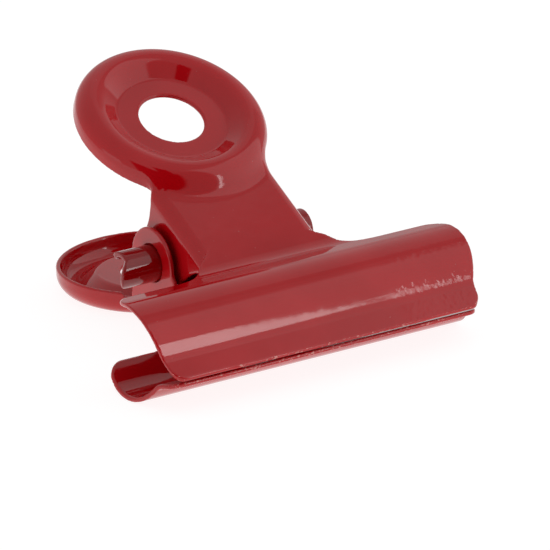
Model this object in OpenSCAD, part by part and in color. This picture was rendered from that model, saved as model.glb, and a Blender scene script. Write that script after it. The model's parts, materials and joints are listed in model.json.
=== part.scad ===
// Spring-loaded gripping clip of painted sheet steel: two pressed levers and a rolled strip spring.
// Millimetres. X runs along the hinge, -Y points to the jaws, +Y to the finger rings, Z is up.
// The clip lies on its lower lever. The origin is under the middle of its bounding box, on the ground.

/* [Sheet] */
// thickness of the lever sheet
sheet_t = 0.4; // [0.3:0.05:0.6]
// thickness of the spring strip
strip_t = 0.45; // [0.3:0.05:0.6]

/* [Jaw] */
// length of the gripping lip
lip_w = 31; // [20:0.5:60]
// extra length of the jaw's crest beyond the lip, at each end
jaw_bulge = 1.1; // [0:0.05:2]
// distance from the hinge axis to the middle of the jaw's crest
crest_m = 11.6; // [9:0.1:16]
// height of the crest above the clip's mid-plane
crest_n = 4.3; // [3:0.05:7]
// outside radius of the crest
crest_r = 4.2; // [2:0.1:5]
// radius of the waist between the front wall and the lip
waist_r = 1.3; // [1:0.1:3]
// slope of the jaw's back, rising toward the crest, in degrees
back_slope = 23; // [10:1:40]
// slope of the front wall, in degrees from the mid-plane
wall_slope = 61; // [50:1:85]
// length of the straight front wall between its two bends
wall_len = 0.3; // [0.1:0.05:1]
// slope of the lip, falling to the gripping edge, in degrees from the mid-plane
lip_slope = 27; // [15:1:45]
// length of the jaw's straight back
back_len = 1.75; // [1:0.01:3]
// corner radius of the jaw's back in plan
jaw_corner_r = 1.5; // [0.5:0.1:3]
// corner radius of the lip in plan
lip_corner_r = 1.2; // [0.3:0.1:3]

/* [Neck] */
// half width of the upper lever's neck, over its flanges
neck_upper = 6.05; // [4:0.05:7]
// half width of the lower lever's neck, over its flanges
neck_lower = 6.85; // [4.5:0.05:8]
// fall of the neck toward the jaw, in degrees
neck_slope = 14.9; // [0:0.1:20]
// radius of the bend between the neck and the jaw
valley_r = 2.3; // [1:0.1:4]
// outside radius of the bend between the neck and its flanges
flange_r = 1.2; // [0.6:0.05:2]
// fillet radius between the neck and the jaw in plan
neck_fillet_r = 2; // [1:0.1:4]

/* [Hinge] */
// radius of the flange's rounded ear
ear_r = 3.15; // [3:0.05:5]
// radius of the hinge hole in the ear
ear_hole_r = 1.7; // [1.5:0.05:3]
// position of the flange's rear edge, toward the jaw
web_rear = -2.5; // [-3:0.1:-1]
// position of the flange's front edge at the height of the hinge, toward the jaw
web_foot = 3.65; // [3:0.05:5]
// position where the flange's front edge reaches the bend under the neck
web_front = 6.2; // [5:0.1:7]
// height at which the flange's front edge is farthest forward below the bend
web_rise = 2.1; // [1.5:0.1:2.8]
// forward lean of the flange's front edge above that height
web_lean = 0.3; // [0:0.05:0.6]
// play between the spring's lug and the hinge hole
hinge_play = 0.08; // [0.02:0.01:0.1]
// half the length of the spring, from lug end to lug end
lug_end = 9.4; // [8:0.1:12]
// direction of the rolled lug's lower edge, in degrees below the mid-plane's front
lug_low = 60; // [20:1:85]
// direction of the rolled lug's upper edge, in degrees above the mid-plane's front
lug_high = 165; // [95:1:175]
// sideways slide of the spring in its four holes, negative to the left
spring_slide = -0.75; // [-1.5:0.05:1.5]

/* [Ring] */
// distance from the hinge axis back to the ring's centre
ring_m = 9.34; // [7:0.01:12]
// height of the ring's rim plane above the clip's mid-plane, at its centre
ring_n = 7.43; // [5:0.01:10]
// rise of the ring toward its back, in degrees
ring_slope = 13.9; // [5:0.1:30]
// outside radius of the ring
ring_r = 8.55; // [7:0.05:12]
// radius of the hole in the ring
hole_r = 2.9; // [2:0.1:4]
// radius of the rolled rim's section
roll_r = 1.55; // [1:0.05:2.5]
// depth of the rim's edge below the middle of the roll
rim_drop = 0.7; // [0.2:0.1:1.5]
// radius of the flat round the hole
flat_r = 4.3; // [3.5:0.1:5.5]
// height of the flat above the middle of the roll
flat_z = 0.43; // [0:0.01:1]
// slope of the dish between the flat and the rim, in degrees
dish_slope = 35; // [20:1:60]

/* [Spring] */
// half width of the spring's two arms
arm_half = 4; // [3:0.1:5]
// radius of the bend where an arm turns away from the lug
arm_bend_r = 2; // [1:0.1:4]
// angle through which an arm turns away from the mid-plane, in degrees
arm_turn = 62; // [30:1:80]
// length of an arm's straight part
arm_len = 3.65; // [1:0.05:5]
// radius of the curl at an arm's end
curl_r = 0.7; // [0.5:0.05:1.5]

/* [Hidden] */
$fn = 48;
eps = 0.01;
crest_c = crest_n - crest_r;
crest_turn = back_slope + wall_slope;
// outer line of the front wall's lower end and of the waist's lower end
wall_m = crest_m + crest_r*sin(wall_slope) + wall_len*cos(wall_slope);
wall_n = crest_c + crest_r*cos(wall_slope) - wall_len*sin(wall_slope);
waist_m = wall_m + waist_r*(sin(wall_slope) - sin(lip_slope));
waist_n = wall_n + waist_r*(cos(wall_slope) - cos(lip_slope));
// end of the lip, with its inner edge on the mid-plane
lip_n = sheet_t*cos(lip_slope);
lip_len = (waist_n - lip_n)/sin(lip_slope);
lip_m = waist_m + lip_len*cos(lip_slope);
back_m = crest_m - crest_r*sin(back_slope) - back_len*cos(back_slope);
back_n = crest_c + crest_r*cos(back_slope) - back_len*sin(back_slope);
valley_turn = back_slope + neck_slope;
valley_tan = valley_r*tan(valley_turn/2);
valley_m = back_m - valley_tan*cos(back_slope);
valley_n = back_n - valley_tan*sin(back_slope);
neck_end_m = valley_m - valley_tan*cos(neck_slope);
neck_end_n = valley_n + valley_tan*sin(neck_slope);
roll_c = ring_r - roll_r;
lug_r = ear_hole_r - hinge_play;
back_half = lip_w/2 + jaw_bulge;
// lowest point of the lower ring's roll against the lowest point of its jaw, for a chosen tilt
rear_m = ring_m + roll_c*cos(ring_slope);
rear_n = ring_n + roll_c*sin(ring_slope);
base_m = rear_m + crest_m;
base_n = rear_n - crest_c;
// tilt at which both points touch the ground
tilt = atan2(base_n, base_m) + asin((roll_r - crest_r)/sqrt(base_m*base_m + base_n*base_n));
pivot_z = crest_m*sin(tilt) + crest_c*cos(tilt) + crest_r;
// reach of the clip to the front and to the back of the hinge
front_y = -(lip_m*cos(tilt) + lip_n*sin(tilt));
edge_m = ring_m + ring_r*cos(ring_slope) + rim_drop*sin(ring_slope);
edge_n = ring_n + ring_r*sin(ring_slope) - rim_drop*cos(ring_slope);
rear_y = max(edge_m*cos(tilt) + edge_n*sin(tilt), rear_m*cos(tilt) + rear_n*sin(tilt) + roll_r);
pivot_y = -(front_y + rear_y)/2;

// Straight run of sheet along +X below its outer line, followed by what comes after it.
module run(len, t) {
    translate([-eps/2, -t])
        square([len + eps, t]);
    translate([len, 0])
        children();
}

// Wedge of a disc between the directions a0 and a1, less than half a turn apart.
module wedge(r, a0, a1) {
    mid = (a0 + a1)/2;
    reach = 2*r;
    polygon(concat([[0, 0]], [for (a = [a0, mid, a1]) [reach*cos(a), reach*sin(a)]]));
}

// Part of a flat ring between two radii and two directions.
module sector(r_in, r_out, a0, a1) {
    intersection() {
        difference() {
            circle(r = r_out);
            circle(r = r_in);
        }
        wedge(r_out, a0, a1);
    }
}

// Bend away from the outer line: the outer line has radius r and turns clockwise.
module bend_in(r, turn, t) {
    translate([0, -r]) {
        sector(r - t, r, 90 - turn, 90);
        rotate(-turn)
            translate([0, r])
                children();
    }
}

// Bend toward the outer line: the outer line has radius r and turns anticlockwise.
module bend_out(r, turn, t) {
    translate([0, r]) {
        sector(r, r + t, -90, turn - 90);
        rotate(turn)
            translate([0, -r])
                children();
    }
}

// Places a drawing made in the side plane (first axis to the jaws, second axis up) over a width in X.
module across(half) {
    translate([-half, 0, 0])
        rotate([90, 0, -90])
            mirror([0, 0, 1])
                linear_extrude(height = 2*half)
                    children();
}

// Side section of the jaw, from the rear edge of its back to the end of the lip.
module jaw_section() {
    translate([back_m, back_n])
        rotate(back_slope)
            run(back_len, sheet_t)
                bend_in(crest_r, crest_turn, sheet_t)
                    run(wall_len, sheet_t)
                        bend_out(waist_r, wall_slope - lip_slope, sheet_t)
                            run(lip_len, sheet_t);
}

// Side section of the neck, from the ring's rim to the jaw's back.
module neck_section() {
    start = neck_end_m/cos(neck_slope);
    translate([neck_end_m, neck_end_n])
        rotate(-neck_slope)
            translate([-start, 0])
                run(start, sheet_t)
                    bend_out(valley_r, valley_turn, sheet_t)
                        run(0.4, sheet_t);
}

// Outline of the jaw seen from the front: the crest is a little longer than the lip.
module jaw_front() {
    low = lip_w/2;
    top = crest_n + 1;
    polygon([[-low, -1], [low, -1], [low, sheet_t], [back_half, crest_n], [back_half, top],
        [-back_half, top], [-back_half, crest_n], [-low, sheet_t]]);
}

// Points along a rounded corner of radius r that ends at [0, r], short of its last point.
function corner(r) = [for (a = [0:22.5:67.5]) [r*sin(a) - r, r - r*cos(a)]];

// Outline of the jaw seen from above, with rounded rear corners and eased lip corners.
module jaw_plan() {
    side = back_half - jaw_corner_r;
    r = lip_corner_r;
    low = lip_w/2;
    wide = back_half + 1;
    for (s = [-1, 1])
        translate([s*side, -back_m - jaw_corner_r])
            circle(r = jaw_corner_r);
    translate([-side, -back_m - 4])
        square([2*side, 4]);
    translate([-wide, r - lip_m])
        square([2*wide, lip_m - back_m - jaw_corner_r - r]);
    for (s = [0, 1])
        mirror([s, 0])
            translate([low, -lip_m])
                polygon(concat([[-low - eps, -1], [-r, -1]], corner(r),
                    [[0.1, r], [1, r], [1, r + eps], [-low - eps, r + eps]]));
}

// Jaw: a wide rolled channel ending in a lip.
module jaw() {
    intersection() {
        across(back_half)
            jaw_section();
        rotate([90, 0, 0])
            linear_extrude(height = 30)
                jaw_front();
        translate([0, 0, -1])
            linear_extrude(height = 10)
                jaw_plan();
    }
}

// Outline seen from above of what is cut away beside the neck, leaving a fillet to the jaw.
module beside_neck(half) {
    r = neck_fillet_r;
    far = half + 8;
    curve = [for (a = [0:22.5:67.5]) [half + r - r*cos(a), r - r*sin(a)]];
    polygon(concat([[half, 20]], curve, [[half + r, -eps], [far, -eps], [far, 20]]));
}

// Flat top of the neck, widening in a fillet where it meets the jaw.
module deck(half) {
    difference() {
        across(half + neck_fillet_r - 0.1)
            neck_section();
        for (s = [0, 1])
            mirror([s, 0, 0])
                translate([0, -back_m - 0.05, 0])
                    linear_extrude(height = 12)
                        beside_neck(half);
    }
}

// Cross section of the neck with its two flanges, from the top surface down.
module channel_section(half) {
    inner_r = flange_r - sheet_t;
    difference() {
        union() {
            translate([flange_r - half, -flange_r])
                square([2*(half - flange_r), flange_r]);
            translate([-half, -12])
                square([2*half, 12 - flange_r]);
            for (s = [-1, 1])
                translate([s*(half - flange_r), -flange_r])
                    circle(r = flange_r);
        }
        translate([flange_r - half, -flange_r])
            square([2*(half - flange_r), inner_r]);
        translate([sheet_t - half, -13])
            square([2*(half - sheet_t), 13 - flange_r]);
        for (s = [-1, 1])
            translate([s*(half - flange_r), -flange_r])
                circle(r = inner_r);
    }
}

// Outline of a flange seen from the side: a rounded ear hanging below the neck.
module flange_outline() {
    low = web_rise/4;
    middle = 0.65*web_rise;
    near_foot = web_foot + (web_front - web_foot)*0.04;
    half_way = web_foot + (web_front - web_foot)*0.35;
    top_m = web_front + web_lean;
    circle(r = ear_r);
    polygon([[web_rear, 0], [web_foot, 0], [near_foot, low], [half_way, middle], [web_front, web_rise],
        [top_m, 3], [top_m, ring_n], [web_rear, ring_n]]);
}

// Neck with both flanges.
module neck(half) {
    intersection() {
        translate([0, 0, neck_end_n + neck_end_m*tan(neck_slope)])
            rotate([neck_slope, 0, 0])
                rotate([90, 0, 0])
                    translate([0, 0, -6])
                        linear_extrude(height = 20)
                            channel_section(half);
        across(half)
            flange_outline();
    }
}

// Section of the dished ring on one side of its axis.
module ring_section() {
    dish = dish_slope;
    lap = 0.06;
    edge_r = roll_c - roll_r*cos(dish) + lap*sin(dish);
    edge_z = roll_r*sin(dish) + lap*cos(dish);
    low_r = edge_r + sheet_t*cos(dish);
    low_z = edge_z - sheet_t*sin(dish);
    flat_low = flat_z - sheet_t;
    translate([roll_c, 0])
        sector(roll_r - sheet_t, roll_r, 0, 180 - dish);
    translate([ring_r - sheet_t, -rim_drop])
        square([sheet_t, rim_drop + lap]);
    start = hole_r - 0.5;
    polygon([[start, flat_low], [start, flat_z], [flat_r, flat_z], [edge_r, edge_z], [low_r, low_z],
        [flat_r, flat_low]]);
}

// Space inside the ring's wall.
module ring_space() {
    translate([0, ring_m, ring_n])
        rotate([ring_slope, 0, 0])
            cylinder(r = ring_r - sheet_t, h = 8, center = true);
}

// Dished finger ring with a rolled rim, cut open where the neck runs into it.
module ring(half) {
    translate([0, ring_m, ring_n])
        rotate([ring_slope, 0, 0])
            difference() {
                rotate_extrude()
                    ring_section();
                cylinder(r = hole_r, h = 6, center = true);
                translate([sheet_t - half, -ring_r - 1, -rim_drop - 1])
                    cube([2*(half - sheet_t), 4, rim_drop + 0.7]);
            }
}

// Pressed lever with its jaw above the mid-plane and its hinge axis through the origin.
module lever(half) {
    difference() {
        union() {
            jaw();
            difference() {
                union() {
                    deck(half);
                    neck(half);
                }
                ring_space();
            }
            ring(half);
        }
        rotate([0, 90, 0])
            cylinder(r = ear_hole_r, h = 30, center = true);
    }
}

// Section of one spring arm, starting at the end of the half tube.
module arm_section() {
    translate([0, lug_r])
        mirror([1, 0])
            bend_out(arm_bend_r, arm_turn, strip_t)
                run(arm_len, strip_t)
                    bend_in(curl_r, arm_turn, strip_t);
}

// Moves a part from the hinge's own axes to the place where the lying clip has it.
module placed() {
    translate([0, pivot_y, pivot_z])
        rotate([tilt, 0, 0])
            children();
}

// Upper lever: jaw, neck with inner flanges and dished ring, one pressing.
module upper_lever() {
    color([0.62, 0.05, 0.06])
        placed()
            lever(neck_upper);
}

// Lower lever: the same pressing, its ears outside the upper lever's flanges.
module lower_lever() {
    color([0.5, 0.04, 0.05])
        placed()
            mirror([0, 0, 1])
                lever(neck_lower);
}

// Open tube of the strip seen from the side, rolled on past its top.
module lug_section() {
    sector(lug_r - strip_t, lug_r, -lug_low, 90);
    sector(lug_r - strip_t, lug_r, 85, lug_high);
}

// Lower part of the tube, from which the lower arm starts.
module root_section() {
    sector(lug_r - strip_t, lug_r, -90, 5 - lug_low);
}

// Strip spring: an open tube whose ends are the hinge lugs, with an arm to each lever.
module spring() {
    color([0.55, 0.1, 0.1])
        placed()
            translate([spring_slide, 0, 0]) {
                across(lug_end)
                    lug_section();
                across(arm_half)
                    root_section();
                for (s = [0, 1])
                    mirror([0, 0, s])
                        across(arm_half)
                            arm_section();
            }
}

upper_lever();
lower_lever();
spring();
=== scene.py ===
"""Ring-handled spring clip in glossy red enamel: two pressed levers and a rolled strip spring.

Shapes are worked out in the clip's own axes, in millimetres: x along the hinge, m from the hinge
toward the jaws in the clip's mid-plane, n up from that plane. Each piece is a bent sheet described
by its distance field and turned into a mesh, then placed in the frame.
"""

import json
import math

import bpy
import numpy as np
from mathutils import Matrix, Vector


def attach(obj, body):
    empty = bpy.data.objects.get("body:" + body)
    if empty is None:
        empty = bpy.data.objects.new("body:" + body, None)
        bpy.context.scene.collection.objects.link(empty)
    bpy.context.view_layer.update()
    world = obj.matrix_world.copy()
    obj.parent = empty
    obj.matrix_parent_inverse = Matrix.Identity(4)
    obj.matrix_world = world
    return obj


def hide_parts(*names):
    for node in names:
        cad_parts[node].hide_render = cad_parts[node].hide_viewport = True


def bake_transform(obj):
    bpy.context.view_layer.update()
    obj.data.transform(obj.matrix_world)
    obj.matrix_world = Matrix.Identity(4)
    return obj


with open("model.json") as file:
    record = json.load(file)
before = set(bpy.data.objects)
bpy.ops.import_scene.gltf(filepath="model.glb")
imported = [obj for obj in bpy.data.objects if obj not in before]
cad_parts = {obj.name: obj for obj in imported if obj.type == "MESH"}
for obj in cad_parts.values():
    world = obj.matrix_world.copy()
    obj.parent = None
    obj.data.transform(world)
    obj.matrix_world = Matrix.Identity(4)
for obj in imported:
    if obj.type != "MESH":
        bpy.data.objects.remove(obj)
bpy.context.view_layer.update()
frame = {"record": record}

# ---------------------------------------------------------------- sizes, millimetres and degrees
MM = 0.001

# Sheets: the levers' steel and the spring's strip, and how far their cut edges are rounded.
SHEET, STRIP = 0.42, 0.46
LEVER_ROUND, STRIP_ROUND, ARM_ROUND = 0.18, 0.12, 0.15

# Jaw: its half width at the lip, and how much wider it is at each end of the crest.
LIP_HALF, JAW_BULGE = 15.5, 1.1
JAW_CORNER, LIP_CORNER = 1.5, 1.2
CREST_M, CREST_N, CREST_R = 11.6, 4.3, 4.2
BACK_SLOPE, WALL_SLOPE, LIP_SLOPE = 23.0, 61.0, 27.0
BACK_LENGTH = 1.75
BELLY_TURN, BELLY_R = 8.0, 7.0
WAIST_R = 1.3

# Neck: half widths over the flanges, slope of the top and where its mid-line starts, the bends to
# the jaw and the flanges, and how its top widens into the jaw in front of the flanges.
NECK_UPPER, NECK_LOWER = 6.05, 6.85
NECK_SLOPE, NECK_REAR = 14.9, -1.5
VALLEY_R, FLANGE_R = 2.3, 1.2
NECK_BLEND, NECK_INSET = 4.8, 0.1
WIDEN_FROM, WIDEN_TO = -1.2, 0.5

# Flanges: a round ear with a hole, and the outline of the web between ear and neck.
EAR_R, EAR_HOLE, HOLE_ROUND = 3.15, 1.7, 0.12
WEB_REAR, WEB_FOOT, WEB_FRONT = -2.5, 3.65, 6.2
WEB_RISE, WEB_LEAN = 2.1, 0.4
WEB_STEEP, WEB_SHALLOW = 55.0, 24.0
WEB_KNEE, WEB_REAR_ROUND, WEB_ROUND, EAR_BLEND = 0.8, 0.4, 0.3, 0.9

# Ring: place and slope, outline, section, the mouth where the neck runs in, and how deep the neck
# is cut away inside the ring. FAR is a distance beyond every piece.
RING_M, RING_N, RING_SLOPE = 9.34, 7.43, 13.9
RING_R, HOLE_R, ROLL_R = 8.55, 2.9, 1.55
RIM_DROP = 0.7
FLAT_Z, DISH_SLOPE, DISH_FILLET = 0.43, 35.0, 0.7
MOUTH_FRONT, MOUTH_TOP, MOUTH_ROUND = 3.0, -0.35, 0.15
RING_BLEND = 1.5
NECK_CUT_DEPTH, NECK_CUT_ROUND = -4.0, 0.2
FAR = 99.0

# Spring: the rolled lugs and the left one's rounded end, the root between lugs and arms, and the
# arms. Then how far the spring and the lower lever slide sideways.
LUG_R, LUG_END, LUG_LOW, LUG_HIGH = 1.62, 9.4, 60.0, 165.0
LUG_BULGE, BULGE_SHARE, LUG_CORNER = 0.7, 0.7, 0.7
ROOT_CORNER, ROOT_BLEND, ARM_BLEND = 0.3, 0.5, 0.1
ARM_HALF = 4.0
ARM_BEND, ARM_TURN, ARM_LENGTH, CURL_R = 2.0, 62.0, 3.65, 0.7
SPRING_SLIDE, LOWER_SLIDE = -0.75, -0.15

# Meshes: size of the sampling cells, and the sampled boxes. The spring's box is over m and n.
LEVER_STEP, SPRING_STEP = 0.17, 0.11
LEVER_LOW, LEVER_HIGH = (0, -18.6, -3.7), (17.0, 18.6, 11.9)
SPRING_LOW, SPRING_HIGH = (-5.6, -7.6), (2.2, 7.6)
SPRING_MARGIN = 0.4


def rad(degrees):
    return math.radians(degrees)


# ---------------------------------------------------------------- the clip's place in the frame
def clip_axes():
    """Hinge point in metres and the clip's tilt in radians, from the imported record."""
    record = frame["record"]
    pivot = Vector(record["behaviour"]["joints"][0]["pos_m"])
    lean = {}
    for mount in record["mounts"]:
        if mount["kind"] == "bore":
            x, y, z = mount["axis"]
            lean[mount["name"]] = math.atan2(-y, abs(z))
    tilt = (lean["upper_ring_hole"] - lean["lower_ring_hole"]) / 2
    return pivot, tilt


PIVOT, TILT = clip_axes()


def to_frame(points):
    """Points given as (x, m, n) in millimetres, in the row frame in metres."""
    x, m, n = points[:, 0], points[:, 1], points[:, 2]
    c, s = math.cos(TILT), math.sin(TILT)
    y = PIVOT.y + MM * (-m * c - n * s)
    z = PIVOT.z + MM * (-m * s + n * c)
    return np.stack([PIVOT.x + MM * x, y, z], axis=1)


def directions_to_frame(vectors):
    x, m, n = vectors[:, 0], vectors[:, 1], vectors[:, 2]
    c, s = math.cos(TILT), math.sin(TILT)
    return np.stack([x, -m * c - n * s, -m * s + n * c], axis=1)


# ---------------------------------------------------------------- distance fields
def soft_min(a, b, k):
    h = np.maximum(k - np.abs(a - b), 0.0)
    return np.minimum(a, b) - h * h / (4 * k)


def soft_max(a, b, k):
    return -soft_min(-a, -b, k)


def smooth_step(low, high, value):
    t = np.clip((value - low) / (high - low), 0.0, 1.0)
    return t * t * (3 - 2 * t)


class Path:
    """The mid-line of a bent strip in a plane, drawn as a chain of straight runs and arcs."""

    def __init__(self, u, v, heading):
        self.u, self.v = u, v
        self.heading = rad(heading)
        self.pieces = []
        self.length = 0.0

    def run(self, length):
        start = (self.u, self.v)
        self.u += length * math.cos(self.heading)
        self.v += length * math.sin(self.heading)
        self.pieces.append(("run", start, (self.u, self.v), self.length))
        self.length += length
        return self

    def turn(self, radius, degrees):
        """An arc; positive degrees turn left."""
        side = 1 if degrees > 0 else -1
        angle = rad(abs(degrees))
        across = self.heading + side * math.pi / 2
        centre = (self.u + radius * math.cos(across), self.v + radius * math.sin(across))
        first = across + math.pi
        middle = first + side * angle / 2
        last = first + side * angle
        self.pieces.append(("arc", centre, radius, middle, angle / 2, side, self.length))
        self.u = centre[0] + radius * math.cos(last)
        self.v = centre[1] + radius * math.sin(last)
        self.heading += side * angle
        self.length += radius * angle
        return self

    def distance(self, u, v):
        """Distance from the mid-line, its ends included, and how far along it the nearest point lies."""
        best, along = None, None
        for piece in self.pieces:
            d, s = self._run(piece, u, v) if piece[0] == "run" else self._arc(piece, u, v)
            if best is None:
                best, along = d, s
            else:
                nearer = d < best
                along = np.where(nearer, s, along)
                best = np.where(nearer, d, best)
        return best, along

    @staticmethod
    def _run(piece, u, v):
        (u0, v0), (u1, v1), before = piece[1:]
        du, dv = u1 - u0, v1 - v0
        length = math.hypot(du, dv)
        t = np.clip(((u - u0) * du + (v - v0) * dv) / length ** 2, 0.0, 1.0)
        return np.hypot(u - u0 - t * du, v - v0 - t * dv), before + t * length

    @staticmethod
    def _arc(piece, u, v):
        centre, radius, middle, half, side, before = piece[1:]
        angle = np.arctan2(v - centre[1], u - centre[0]) - middle
        angle = np.mod(angle + math.pi, 2 * math.pi) - math.pi
        angle = np.clip(angle, -half, half)
        pu = centre[0] + radius * np.cos(middle + angle)
        pv = centre[1] + radius * np.sin(middle + angle)
        return np.hypot(u - pu, v - pv), before + radius * (half + side * angle)


# ---------------------------------------------------------------- lever: sections and outlines
def lever_path():
    """Side section of the jaw and the neck's top, from the ring forward to the lip, as a mid-line."""
    half = SHEET / 2
    crest_c = CREST_N - CREST_R
    crest_r = CREST_R - half
    waist_r = WAIST_R + half
    steep, shallow = rad(WALL_SLOPE), rad(LIP_SLOPE)
    belly = 2 * BELLY_R * math.sin(rad(BELLY_TURN) / 2)
    wall_n = crest_c + crest_r * math.cos(rad(WALL_SLOPE - BELLY_TURN))
    wall_n -= belly * math.sin(rad(WALL_SLOPE - BELLY_TURN / 2))
    waist_n = wall_n - waist_r * (math.cos(shallow) - math.cos(steep))
    lip_length = (waist_n - half * math.cos(shallow)) / math.sin(shallow)
    back_m = CREST_M - crest_r * math.sin(rad(BACK_SLOPE)) - BACK_LENGTH * math.cos(rad(BACK_SLOPE))
    back_n = crest_c + crest_r * math.cos(rad(BACK_SLOPE)) - BACK_LENGTH * math.sin(rad(BACK_SLOPE))
    valley = VALLEY_R + half
    turn = BACK_SLOPE + NECK_SLOPE
    reach = valley * math.tan(rad(turn) / 2)
    neck_m = back_m - reach * (math.cos(rad(BACK_SLOPE)) + math.cos(rad(NECK_SLOPE)))
    neck_n = back_n - reach * (math.sin(rad(BACK_SLOPE)) - math.sin(rad(NECK_SLOPE)))
    length = (neck_m - NECK_REAR) / math.cos(rad(NECK_SLOPE))
    path = Path(NECK_REAR, neck_n + length * math.sin(rad(NECK_SLOPE)), -NECK_SLOPE)
    path.run(length).turn(valley, turn).run(BACK_LENGTH)
    path.turn(crest_r, BELLY_TURN - BACK_SLOPE - WALL_SLOPE).turn(BELLY_R, -BELLY_TURN)
    path.turn(waist_r, WALL_SLOPE - LIP_SLOPE).run(lip_length - half)
    return path, back_m, (neck_m, neck_n)


def ring_path():
    """Section of the dished ring from the hole outward, as a mid-line over (radius, height)."""
    half = SHEET / 2
    roll = ROLL_R - half
    centre = RING_R - ROLL_R
    flat = FLAT_Z - half
    dish = rad(DISH_SLOPE)
    rise = roll * math.cos(dish) - flat - DISH_FILLET * (1 - math.cos(dish))
    slope = rise / math.sin(dish)
    start = HOLE_R + half
    flat_end = centre - roll * math.sin(dish) - slope * math.cos(dish)
    flat_end -= DISH_FILLET * math.sin(dish)
    path = Path(start, flat, 0)
    path.run(flat_end - start).turn(DISH_FILLET, DISH_SLOPE).run(slope)
    path.turn(roll, -(DISH_SLOPE + 90)).run(RIM_DROP - half)
    return path


LEVER_PATH, BACK_M, (NECK_M, NECK_N) = lever_path()
LIP_M = LEVER_PATH.u + SHEET / 2
RING_PATH = ring_path()


def deck_height(m):
    """Mid-line height of the neck's top above the mid-plane."""
    return NECK_N + (NECK_M - m) * math.tan(rad(NECK_SLOPE))


def jaw_outline(x, m, n, half):
    """Signed distance from the outline of jaw and neck top, seen from above."""
    jaw_half = LIP_HALF + JAW_BULGE * np.clip((n - SHEET) / (CREST_N - SHEET), 0, 1)
    middle = (BACK_M + LIP_M) / 2
    corner = np.where(m < middle, JAW_CORNER, LIP_CORNER)
    over_x = np.abs(x) - (jaw_half - corner)
    over_m = np.abs(m - middle) - ((LIP_M - BACK_M) / 2 - corner)
    outside = np.hypot(np.maximum(over_x, 0), np.maximum(over_m, 0))
    jaw = outside + np.minimum(np.maximum(over_x, over_m), 0) - corner
    widening = smooth_step(WEB_FRONT + WIDEN_FROM, WEB_FRONT + WIDEN_TO, m)
    neck_half = half - FLANGE_R + NECK_INSET + (FLANGE_R - 2 * NECK_INSET) * widening
    return soft_min(jaw, np.abs(x) - neck_half, NECK_BLEND)


def channel(x, m, n, half):
    """Neck as an endless bent channel: a top and two flanges."""
    middle = half - SHEET / 2
    corner = FLANGE_R - SHEET / 2
    depth = (n - deck_height(m)) * math.cos(rad(NECK_SLOPE))
    over_x = np.abs(x) - (middle - corner)
    over_v = depth + corner
    outside = np.hypot(np.maximum(over_x, 0), np.maximum(over_v, 0))
    box = outside + np.minimum(np.maximum(over_x, over_v), 0) - corner
    return np.abs(box) - SHEET / 2


def flange_outline(m, n):
    """Signed distance from a flange's outline seen from the side: a round ear under the neck."""
    ear = np.hypot(m, n) - EAR_R
    steep, shallow = rad(WEB_STEEP), rad(WEB_SHALLOW)
    front = (m - WEB_FOOT) * math.sin(steep) - n * math.cos(steep)
    top = (m - WEB_FRONT) * math.sin(shallow) - (n - WEB_RISE) * math.cos(shallow)
    front = soft_max(soft_min(front, top, WEB_KNEE), m - WEB_FRONT - WEB_LEAN, WEB_ROUND)
    web = soft_max(soft_max(front, WEB_REAR - m, WEB_REAR_ROUND), -n, WEB_ROUND)
    return soft_min(ear, web, EAR_BLEND)


def ring_field(x, m, n, half):
    """Dished ring with its rim rolled down, open where the neck runs in."""
    c, s = math.cos(rad(RING_SLOPE)), math.sin(rad(RING_SLOPE))
    forward = (m + RING_M) * c - (n - RING_N) * s
    height = (m + RING_M) * s + (n - RING_N) * c
    radius = np.hypot(x, forward)
    sheet = RING_PATH.distance(radius, height)[0] - SHEET / 2
    inside_neck = np.maximum(np.abs(x) - (half - SHEET), height - MOUTH_TOP)
    mouth = np.maximum(inside_neck, MOUTH_FRONT - forward)
    return soft_max(sheet, -mouth, MOUTH_ROUND), radius, height


def lever_field(x, m, n, half):
    """Distance field of one pressed lever."""
    section = LEVER_PATH.distance(m, n)[0] - SHEET / 2
    top = soft_max(section, jaw_outline(x, m, n, half), LEVER_ROUND)
    neck = soft_max(channel(x, m, n, half), flange_outline(m, n), LEVER_ROUND)
    ring, radius, height = ring_field(x, m, n, half)
    beside_ring = np.where(height > NECK_CUT_DEPTH, radius, FAR)
    body = soft_max(np.minimum(top, neck), (RING_R - SHEET / 2) - beside_ring, NECK_CUT_ROUND)
    body = soft_min(body, ring, RING_BLEND)
    return soft_max(body, EAR_HOLE - np.hypot(m, n), HOLE_ROUND)


# ---------------------------------------------------------------- spring
def tube_path():
    middle = LUG_R - STRIP / 2
    return Path(0, -middle, 0).turn(middle, 90 + LUG_HIGH)


def arm_path():
    middle = LUG_R - STRIP / 2
    path = Path(0, middle, 180)
    return path.turn(ARM_BEND + STRIP / 2, -ARM_TURN).run(ARM_LENGTH).turn(CURL_R, ARM_TURN)


TUBE_PATH, ARM_PATH = tube_path(), arm_path()


def rounded_band(x, s, half, length, corner):
    """Signed distance from a rounded rectangle: half its width in x, from 0 to length in s."""
    over_x = np.abs(x) - (half - corner)
    over_s = np.abs(s - length / 2) - (length / 2 - corner)
    outside = np.hypot(np.maximum(over_x, 0), np.maximum(over_s, 0))
    return outside + np.minimum(np.maximum(over_x, over_s), 0) - corner


def lug_bulge(x, s, front):
    """How far the left lug's rounded end stands past a straight cut, along its section."""
    rounded = np.clip(1 - ((s - front) / (BULGE_SHARE * front)) ** 2, 0, 1)
    return LUG_BULGE * rounded * (x < 0)


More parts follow.
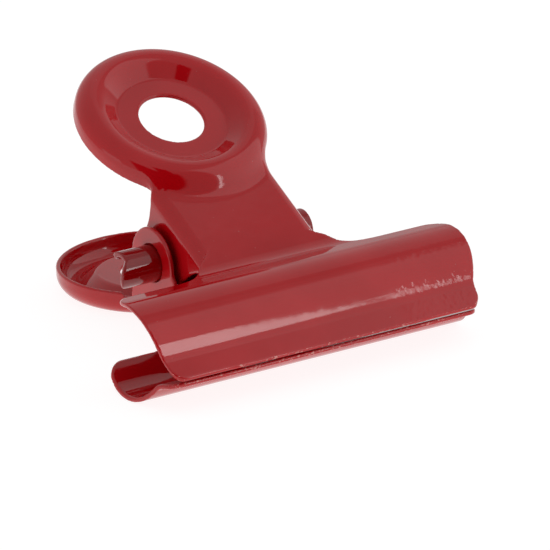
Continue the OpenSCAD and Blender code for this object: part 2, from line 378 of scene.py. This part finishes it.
def spring_field(x, m, n):
    """Distance field of the rolled strip: open tube with long lugs, and an arm to each lever."""
    x = x - SPRING_SLIDE
    tube, s = TUBE_PATH.distance(m, n)
    lead = (LUG_R - STRIP / 2) * rad(90 - LUG_LOW)
    front = (LUG_R - STRIP / 2) * rad(90)
    lug_half = LUG_END + lug_bulge(x, s, front)
    lugs = rounded_band(x, s - lead, lug_half, TUBE_PATH.length - lead, LUG_CORNER)
    root = rounded_band(x, s, ARM_HALF, 2 * lead, ROOT_CORNER)
    field = soft_max(tube - STRIP / 2, soft_min(lugs, root, ROOT_BLEND), STRIP_ROUND)
    arm = ARM_PATH.distance(m, np.abs(n))[0]
    field_arm = soft_max(arm - STRIP / 2, np.abs(x) - ARM_HALF, ARM_ROUND)
    return soft_min(field, field_arm, ARM_BLEND)


# ---------------------------------------------------------------- meshes from distance fields
def surface_net(field, origin, step):
    """Quads on the zero level of a sampled field: one vertex in each cell that the surface crosses."""
    inside = field < 0
    count = np.zeros(tuple(k - 1 for k in field.shape), np.uint8)
    corners = [(i, j, k) for i in (0, 1) for j in (0, 1) for k in (0, 1)]
    for i, j, k in corners:
        count += inside[i:field.shape[0] - 1 + i, j:field.shape[1] - 1 + j, k:field.shape[2] - 1 + k]
    cells = np.argwhere((count > 0) & (count < 8))
    index = np.full(count.shape, -1, np.int32)
    index[tuple(cells.T)] = np.arange(len(cells))
    total = np.zeros((len(cells), 3))
    crossings = np.zeros(len(cells))
    for axis in range(3):
        unit = np.eye(3, dtype=int)[axis]
        for corner in corners:
            if corner[axis]:
                continue
            a = cells + corner
            fa = field[tuple(a.T)]
            fb = field[tuple((a + unit).T)]
            cross = (fa < 0) != (fb < 0)
            t = np.where(cross, fa / np.where(cross, fa - fb, 1), 0)
            total += np.where(cross[:, None], np.array(corner) + t[:, None] * unit, 0)
            crossings += cross
    points = origin + step * (cells + total / crossings[:, None])
    quads = []
    for axis in range(3):
        unit = np.eye(3, dtype=int)[axis]
        one, two = np.eye(3, dtype=int)[(axis + 1) % 3], np.eye(3, dtype=int)[(axis + 2) % 3]
        low = [slice(0, k) for k in field.shape]
        high = [slice(0, k) for k in field.shape]
        low[axis], high[axis] = slice(0, -1), slice(1, None)
        change = np.argwhere(inside[tuple(low)] != inside[tuple(high)])
        leaving = inside[tuple(change.T)]
        ring = [change - one - two, change - two, change, change - one]
        quad = np.stack([index[tuple(c.T)] for c in ring], axis=1)
        quads.append(np.where(leaving[:, None], quad, quad[:, ::-1]))
    return points, np.concatenate(quads)


# Reach of a slope's differences in millimetres, its least square, and the longest move in cells.
GRADIENT_REACH = 0.01
LEAST_SQUARE = 0.05
LONGEST_MOVE = 0.7
TINY = 1e-9


def slope_of(function, points):
    """Gradient of a field at points, by central differences."""
    gradient = np.empty_like(points)
    for axis in range(3):
        step = np.zeros(3)
        step[axis] = GRADIENT_REACH
        gradient[:, axis] = (function(points + step) - function(points - step)) / (2 * GRADIENT_REACH)
    return gradient


def settle(function, points, step):
    """Moves points onto the zero level of the field, by less than a cell."""
    gradient = slope_of(function, points)
    size = np.maximum((gradient ** 2).sum(1), LEAST_SQUARE)
    move = -(function(points) / size)[:, None] * gradient
    length = np.linalg.norm(move, axis=1, keepdims=True)
    return points + move * np.minimum(1, LONGEST_MOVE * step / np.maximum(length, TINY))


def relax(function, points, quads, step, rounds=3):
    """Evens out the mesh along the surface, then settles it on the surface again."""
    edges = np.concatenate([quads[:, [i, (i + 1) % 4]] for i in range(4)])
    weight = np.bincount(edges[:, 0], minlength=len(points))
    for _ in range(rounds):
        sums = [np.bincount(edges[:, 0], points[edges[:, 1], axis], len(points)) for axis in range(3)]
        mean = np.stack(sums, 1) / weight[:, None]
        points = points + 0.5 * (mean - points)
        points = settle(function, settle(function, points, step), step)
    return points


# How far apart the bend of a surface is measured, and the bends of open sheet and of a cut edge.
EDGE_REACH = 0.1
OPEN_BEND, EDGE_BEND = 1.6, 4.0
# Width of the strip behind the gripping edge that counts as worn lip.
LIP_ZONE = 2.4


def edge_share(at, points):
    """How sharply the surface bends at each point: 0 on the open sheet, 1 on a cut edge."""
    bend = -6 * at(points)
    for axis in range(3):
        for side in (-EDGE_REACH, EDGE_REACH):
            moved = points.copy()
            moved[:, axis] += side
            bend += at(moved)
    return smooth_step(OPEN_BEND, EDGE_BEND, bend / EDGE_REACH**2)


def sheet_mesh(name, function, low, high, step, turned=False, slide=0.0):
    """A piece made from a distance field, and its normals.

    A low end of 0 in x stands for a symmetric piece. turned mirrors it below the mid-plane.
    The mesh carries two numbers for its material: edge on cut edges, and lip near the jaw's lip.
    """
    axes = [np.arange(low[k], high[k] + step, step) for k in range(3)]
    x, m, n = axes[0][:, None, None], axes[1][None, :, None], axes[2][None, None, :]
    field = np.broadcast_to(function(x, m, n), [len(a) for a in axes])
    origin = np.array(low, float)
    if low[0] == 0:
        field = np.concatenate([field[:0:-1], field])
        origin[0] = -axes[0][-1]
    at = lambda p: function(p[:, 0], p[:, 1], p[:, 2])
    points, quads = surface_net(field, origin, step)
    points = settle(at, points, step)
    points = relax(at, points, quads, step)
    normals = slope_of(at, points)
    normals /= np.maximum(np.linalg.norm(normals, axis=1, keepdims=True), TINY)
    edge = edge_share(at, points)
    points[:, 0] += slide
    if turned:
        points[:, 2] *= -1
        normals[:, 2] *= -1
    else:
        quads = quads[:, ::-1]
    mesh = bpy.data.meshes.new(name)
    mesh.from_pydata(to_frame(points).tolist(), [], quads.tolist())
    mesh.shade_smooth()
    mesh.attributes.new("edge", "FLOAT", "POINT").data.foreach_set("value", edge)
    near_lip = smooth_step(LIP_M - LIP_ZONE, LIP_M - LIP_ZONE / 2, points[:, 1])
    mesh.attributes.new("lip", "FLOAT", "POINT").data.foreach_set("value", near_lip)
    mesh.update()
    piece = bpy.data.objects.new(name, mesh)
    bpy.context.scene.collection.objects.link(piece)
    return piece, directions_to_frame(normals)


# ---------------------------------------------------------------- materials
def new_material(name):
    material = bpy.data.materials.new(name)
    material.use_nodes = True
    tree = material.node_tree
    return material, tree, tree.nodes["Principled BSDF"]


def add(tree, kind, **settings):
    """A node with its properties set by name."""
    node = tree.nodes.new(kind)
    for key, value in settings.items():
        setattr(node, key, value)
    return node


def plug(tree, value, socket):
    """Links an output to a socket, or sets the socket when the value is a plain number."""
    if isinstance(value, bpy.types.NodeSocket):
        tree.links.new(value, socket)
    else:
        socket.default_value = value


def math_node(tree, operation, a, b=0.0):
    node = add(tree, "ShaderNodeMath", operation=operation)
    plug(tree, a, node.inputs[0])
    plug(tree, b, node.inputs[1])
    return node.outputs[0]


def ramp(tree, value, low, high, out_low=0.0, out_high=1.0):
    """Maps a value from low..high to out_low..out_high along a smooth step."""
    node = add(tree, "ShaderNodeMapRange", interpolation_type="SMOOTHSTEP")
    for socket, number in zip(node.inputs[:5], (value, low, high, out_low, out_high)):
        plug(tree, number, socket)
    return node.outputs[0]


def noise(tree, scale, detail=2.0, roughness=0.5, stretch=(1, 1, 1), offset=(0, 0, 0)):
    """Noise in the piece's own space, which is the row frame. scale counts cells per millimetre."""
    place = add(tree, "ShaderNodeTexCoord").outputs["Object"]
    mapping = add(tree, "ShaderNodeMapping")
    mapping.inputs["Location"].default_value = offset
    mapping.inputs["Scale"].default_value = [scale / MM * k for k in stretch]
    tree.links.new(place, mapping.inputs["Vector"])
    node = add(tree, "ShaderNodeTexNoise")
    node.inputs["Scale"].default_value = 1.0
    node.inputs["Detail"].default_value = detail
    node.inputs["Roughness"].default_value = roughness
    tree.links.new(mapping.outputs[0], node.inputs["Vector"])
    return node.outputs["Fac"]


def mix_colour(tree, factor, first, second):
    node = add(tree, "ShaderNodeMix", data_type="RGBA")
    plug(tree, factor, node.inputs["Factor"])
    for value, socket in ((first, node.inputs["A"]), (second, node.inputs["B"])):
        if isinstance(value, bpy.types.NodeSocket):
            tree.links.new(value, socket)
        else:
            socket.default_value = (*value, 1)
    return node.outputs["Result"]


def bump(tree, height, distance):
    node = add(tree, "ShaderNodeBump")
    node.inputs["Strength"].default_value = 1.0
    node.inputs["Distance"].default_value = distance
    tree.links.new(height, node.inputs["Height"])
    return node.outputs["Normal"]


# Enamel: its colours, the spring's darkened by painted shade, where it is worn and chipped, its
# roughness, and its surface in millimetres.
ENAMEL, ENAMEL_THICK = (0.5, 0.005, 0.009), (0.45, 0.001, 0.004)
# The spring's reds are darker than the levers': painted shade for the spring, which sits in shade under
# the levers.
SPRING_SHADED_RED, SPRING_SHADED_RED_THICK = (0.33, 0.002, 0.003), (0.27, 0.001, 0.002)
WORN_COAT, DUST = (0.62, 0.25, 0.22), (0.45, 0.16, 0.15)
WEAR_OPEN, WEAR_LIP = 0.45, 0.62
CHIP_FROM, CHIP_TO = 1.18, 1.26
GLOSS_LOW, GLOSS_HIGH, CHIP_ROUGHNESS, CHIP_METAL = 0.035, 0.07, 0.3, 0.3
PEEL_DEPTH, DUST_HEIGHT, RIPPLE_SHARE = 0.003, 0.25, 4.0
# The coat is coarser on the clip's right from this x on, over a soft start.
COARSE_FROM, COARSE_SOFT = 7.0, 2.0


def worn_edges(tree):
    """1 where the coat is chipped off a cut edge, most of all along the gripping lip."""
    edge = add(tree, "ShaderNodeAttribute", attribute_name="edge").outputs["Fac"]
    lip = add(tree, "ShaderNodeAttribute", attribute_name="lip").outputs["Fac"]
    wear = math_node(tree, "MULTIPLY", edge, ramp(tree, lip, 0, 1, WEAR_OPEN, WEAR_LIP))
    grain = noise(tree, 2.6, 4, 0.6, (1, 1.6, 1.6))
    return ramp(tree, math_node(tree, "ADD", wear, grain), CHIP_FROM, CHIP_TO)


def orange_peel(tree, dust):
    """Surface height of the coat: gentle waves, dust specks and a coarse patch on the right."""
    place = add(tree, "ShaderNodeSeparateXYZ")
    tree.links.new(add(tree, "ShaderNodeTexCoord").outputs["Object"], place.inputs[0])
    coarse = ramp(tree, place.outputs["X"], COARSE_FROM * MM, (COARSE_FROM + COARSE_SOFT) * MM)
    waves = math_node(tree, "ADD", noise(tree, 0.75, 2), math_node(tree, "MULTIPLY", dust, DUST_HEIGHT))
    ripple = math_node(tree, "MULTIPLY", noise(tree, 2.0, 1, offset=(1, 5, 2)), coarse)
    return math_node(tree, "ADD", waves, math_node(tree, "MULTIPLY", ripple, RIPPLE_SHARE))


def enamel(name, base, thick):
    """Glossy red enamel: a slightly uneven coat with fine orange peel, dust specks and worn edges."""
    material, tree, shader = new_material(name)
    chipped = worn_edges(tree)
    dust = ramp(tree, noise(tree, 3.1, 1, 0.5, offset=(7, 3, 1)), 0.79, 0.82)
    colour = mix_colour(tree, ramp(tree, noise(tree, 0.16, 3), 0.3, 0.7), base, thick)
    colour = mix_colour(tree, chipped, colour, WORN_COAT)
    colour = mix_colour(tree, math_node(tree, "MULTIPLY", dust, 0.5), colour, DUST)
    tree.links.new(colour, shader.inputs["Base Color"])
    rough = ramp(tree, noise(tree, 0.5, 3, offset=(3, 3, 3)), 0.3, 0.75, GLOSS_LOW, GLOSS_HIGH)
    rough = math_node(tree, "ADD", rough, math_node(tree, "MULTIPLY", chipped, CHIP_ROUGHNESS))
    tree.links.new(rough, shader.inputs["Roughness"])
    tree.links.new(math_node(tree, "MULTIPLY", chipped, CHIP_METAL), shader.inputs["Metallic"])
    tree.links.new(bump(tree, orange_peel(tree, dust), PEEL_DEPTH * MM), shader.inputs["Normal"])
    shader.inputs["IOR"].default_value = 1.5
    return material


PAPER_SHADE, PAPER_GLOW = 0.2, 0.89


def light_table():
    """Plain white paper that is lit mostly from below, so that it is white beside the clip too."""
    material, tree, shader = new_material("white_paper")
    shader.inputs["Base Color"].default_value = (PAPER_SHADE, PAPER_SHADE, PAPER_SHADE, 1)
    shader.inputs["Roughness"].default_value = 0.9
    shader.inputs["Emission Color"].default_value = (1, 1, 1, 1)
    shader.inputs["Emission Strength"].default_value = PAPER_GLOW
    return material


# ---------------------------------------------------------------- pieces
lever_enamel = enamel("red_enamel", ENAMEL, ENAMEL_THICK)
# A darker copy of the same enamel for the spring: painted shade.
spring_shaded_enamel = enamel("red_enamel_spring_shaded", SPRING_SHADED_RED, SPRING_SHADED_RED_THICK)


def make_lever(node, body, half, turned, slide):
    """One lever. half is half its neck's width, and turned is for the one below the mid-plane."""
    field = lambda x, m, n: lever_field(x, m, n, half)
    name = node + "_pressing"
    piece, normals = sheet_mesh(name, field, LEVER_LOW, LEVER_HIGH, LEVER_STEP, turned, slide)
    piece.data.materials.append(lever_enamel)
    piece.data.normals_split_custom_set_from_vertices(normals.tolist())
    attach(piece, body)
    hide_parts(node)


def make_spring():
    """The spring, as one mesh placed in the frame."""
    reach = LUG_END + LUG_BULGE + SPRING_MARGIN
    low, high = (SPRING_SLIDE - reach, *SPRING_LOW), (SPRING_SLIDE + reach, *SPRING_HIGH)
    piece, _ = sheet_mesh("rolled_strip_spring", spring_field, low, high, SPRING_STEP)
    piece.data.materials.append(spring_shaded_enamel)
    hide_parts("spring")
    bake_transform(piece)


make_lever("upper_lever", "upper", NECK_UPPER, turned=False, slide=0.0)
make_lever("lower_lever", "lower", NECK_LOWER, turned=True, slide=LOWER_SLIDE)
make_spring()


# ---------------------------------------------------------------- floor, light and camera
FLOOR_SIZE = 3.0


def make_floor():
    bpy.ops.mesh.primitive_plane_add(size=FLOOR_SIZE, location=(0, 0, 0))
    floor = bpy.context.object
    floor.name = "studio_floor"
    floor.data.materials.append(light_table())


def heading(azimuth, elevation):
    """Unit vector of a direction. Azimuth 0 is the -Y side, positive toward +X."""
    a, e = rad(azimuth), rad(elevation)
    return Vector((math.sin(a) * math.cos(e), -math.cos(a) * math.cos(e), math.sin(e)))


# Two panes of a window, far off: low and high azimuth, low and high elevation, brightness.
LAMP_DISTANCE = 4.0
WINDOW_PANES = {
    "window_strip": (28.6, 31.5, 4.5, 19, 4.1),
    "window_strip_far_pane": (31.9, 33.2, 6, 12, 2.6),
}


def strip_light(name, west, east, bottom, top, brightness):
    """A far rectangular lamp that fills a window of directions, seen from the clip."""
    azimuth, elevation = (west + east) / 2, (bottom + top) / 2
    light = bpy.data.lights.new(name, "AREA")
    light.shape = "RECTANGLE"
    light.size = LAMP_DISTANCE * rad(east - west) * math.cos(rad(elevation))
    light.size_y = LAMP_DISTANCE * rad(top - bottom)
    light.energy = brightness * math.pi * light.size * light.size_y
    holder = bpy.data.objects.new(name, light)
    place = heading(azimuth, elevation) * LAMP_DISTANCE
    holder.location = place + PIVOT
    holder.rotation_euler = (-place).to_track_quat("-Z", "Y").to_euler()
    bpy.context.scene.collection.objects.link(holder)


# Light-tent panels in degrees: low and high azimuth, low and high elevation, soft edge, brightness.
TENT_LEVEL = 0.6
TENT_PANELS = (
    (27, 90, -90, 57, 4, 1.15),
    (90, 160, -90, 66, 5, 0.52),
    (109, 160, 20, 66, 0.6, 0.68),
    (-102, -76, -10, 11, 4, 1.25),
    (-8, 27, -90, 48, 5, 0.45),
    (-56, -2, -90, 36, 6, 0.0),
    (-25, -7, 20, 49, 3, 0.0),
)


def make_world():
    """A light tent that is bright on the right, dim behind and above, and open and dark in front."""
    world = bpy.data.worlds.new("light_tent")
    world.use_nodes = True
    tree = world.node_tree
    axes = add(tree, "ShaderNodeSeparateXYZ")
    tree.links.new(add(tree, "ShaderNodeTexCoord").outputs["Generated"], axes.inputs[0])
    x, y, z = axes.outputs
    forward = math_node(tree, "MULTIPLY", y, -1)
    azimuth = math_node(tree, "DEGREES", math_node(tree, "ARCTAN2", x, forward))
    elevation = math_node(tree, "DEGREES", math_node(tree, "ARCSINE", z))
    level = TENT_LEVEL
    for west, east, bottom, top, soft, brightness in TENT_PANELS:
        inside = 1.0
        for angle, low, high in ((azimuth, west, east), (elevation, bottom, top)):
            above = ramp(tree, angle, low - soft / 2, low + soft / 2)
            below = ramp(tree, angle, high - soft / 2, high + soft / 2, 1, 0)
            inside = math_node(tree, "MULTIPLY", inside, math_node(tree, "MULTIPLY", above, below))
        kept = math_node(tree, "MULTIPLY", level, math_node(tree, "SUBTRACT", 1.0, inside))
        level = math_node(tree, "ADD", kept, math_node(tree, "MULTIPLY", inside, brightness))
    shade = tree.nodes["Background"]
    shade.inputs["Color"].default_value = (1, 1, 1, 1)
    tree.links.new(level, shade.inputs["Strength"])
    bpy.context.scene.world = world


# Camera: where it looks from, in degrees and metres, the width it sees there, and its aim.
VIEW_AZIMUTH, VIEW_ELEVATION, VIEW_ROLL = -32.74, 20.23, -1.23
VIEW_DISTANCE = 0.582
VIEW_WIDTH = 47.4 * MM
AIM_RIGHT, AIM_UP = 4.755 * MM, -2.46 * MM


def make_camera():
    """Camera on the clip's front left, far off with a long lens, aimed a little off the hinge."""
    a, roll = rad(VIEW_AZIMUTH), rad(VIEW_ROLL)
    back = heading(VIEW_AZIMUTH, VIEW_ELEVATION)
    level = Vector((math.cos(a), math.sin(a), 0))
    above = back.cross(level)
    right = level * math.cos(roll) + above * math.sin(roll)
    up = above * math.cos(roll) - level * math.sin(roll)
    data = bpy.data.cameras.new("camera")
    data.lens = data.sensor_width * VIEW_DISTANCE / VIEW_WIDTH
    data.clip_start, data.clip_end = 0.01, 10
    camera = bpy.data.objects.new("camera", data)
    spot = PIVOT + AIM_RIGHT * right + AIM_UP * up + VIEW_DISTANCE * back
    camera.matrix_world = Matrix.Translation(spot) @ Matrix((right, up, back)).transposed().to_4x4()
    bpy.context.scene.collection.objects.link(camera)
    bpy.context.scene.camera = camera


make_floor()
make_world()
for pane, window in WINDOW_PANES.items():
    strip_light(pane, *window)
make_camera()
bpy.context.scene.view_settings.view_transform = "Standard"
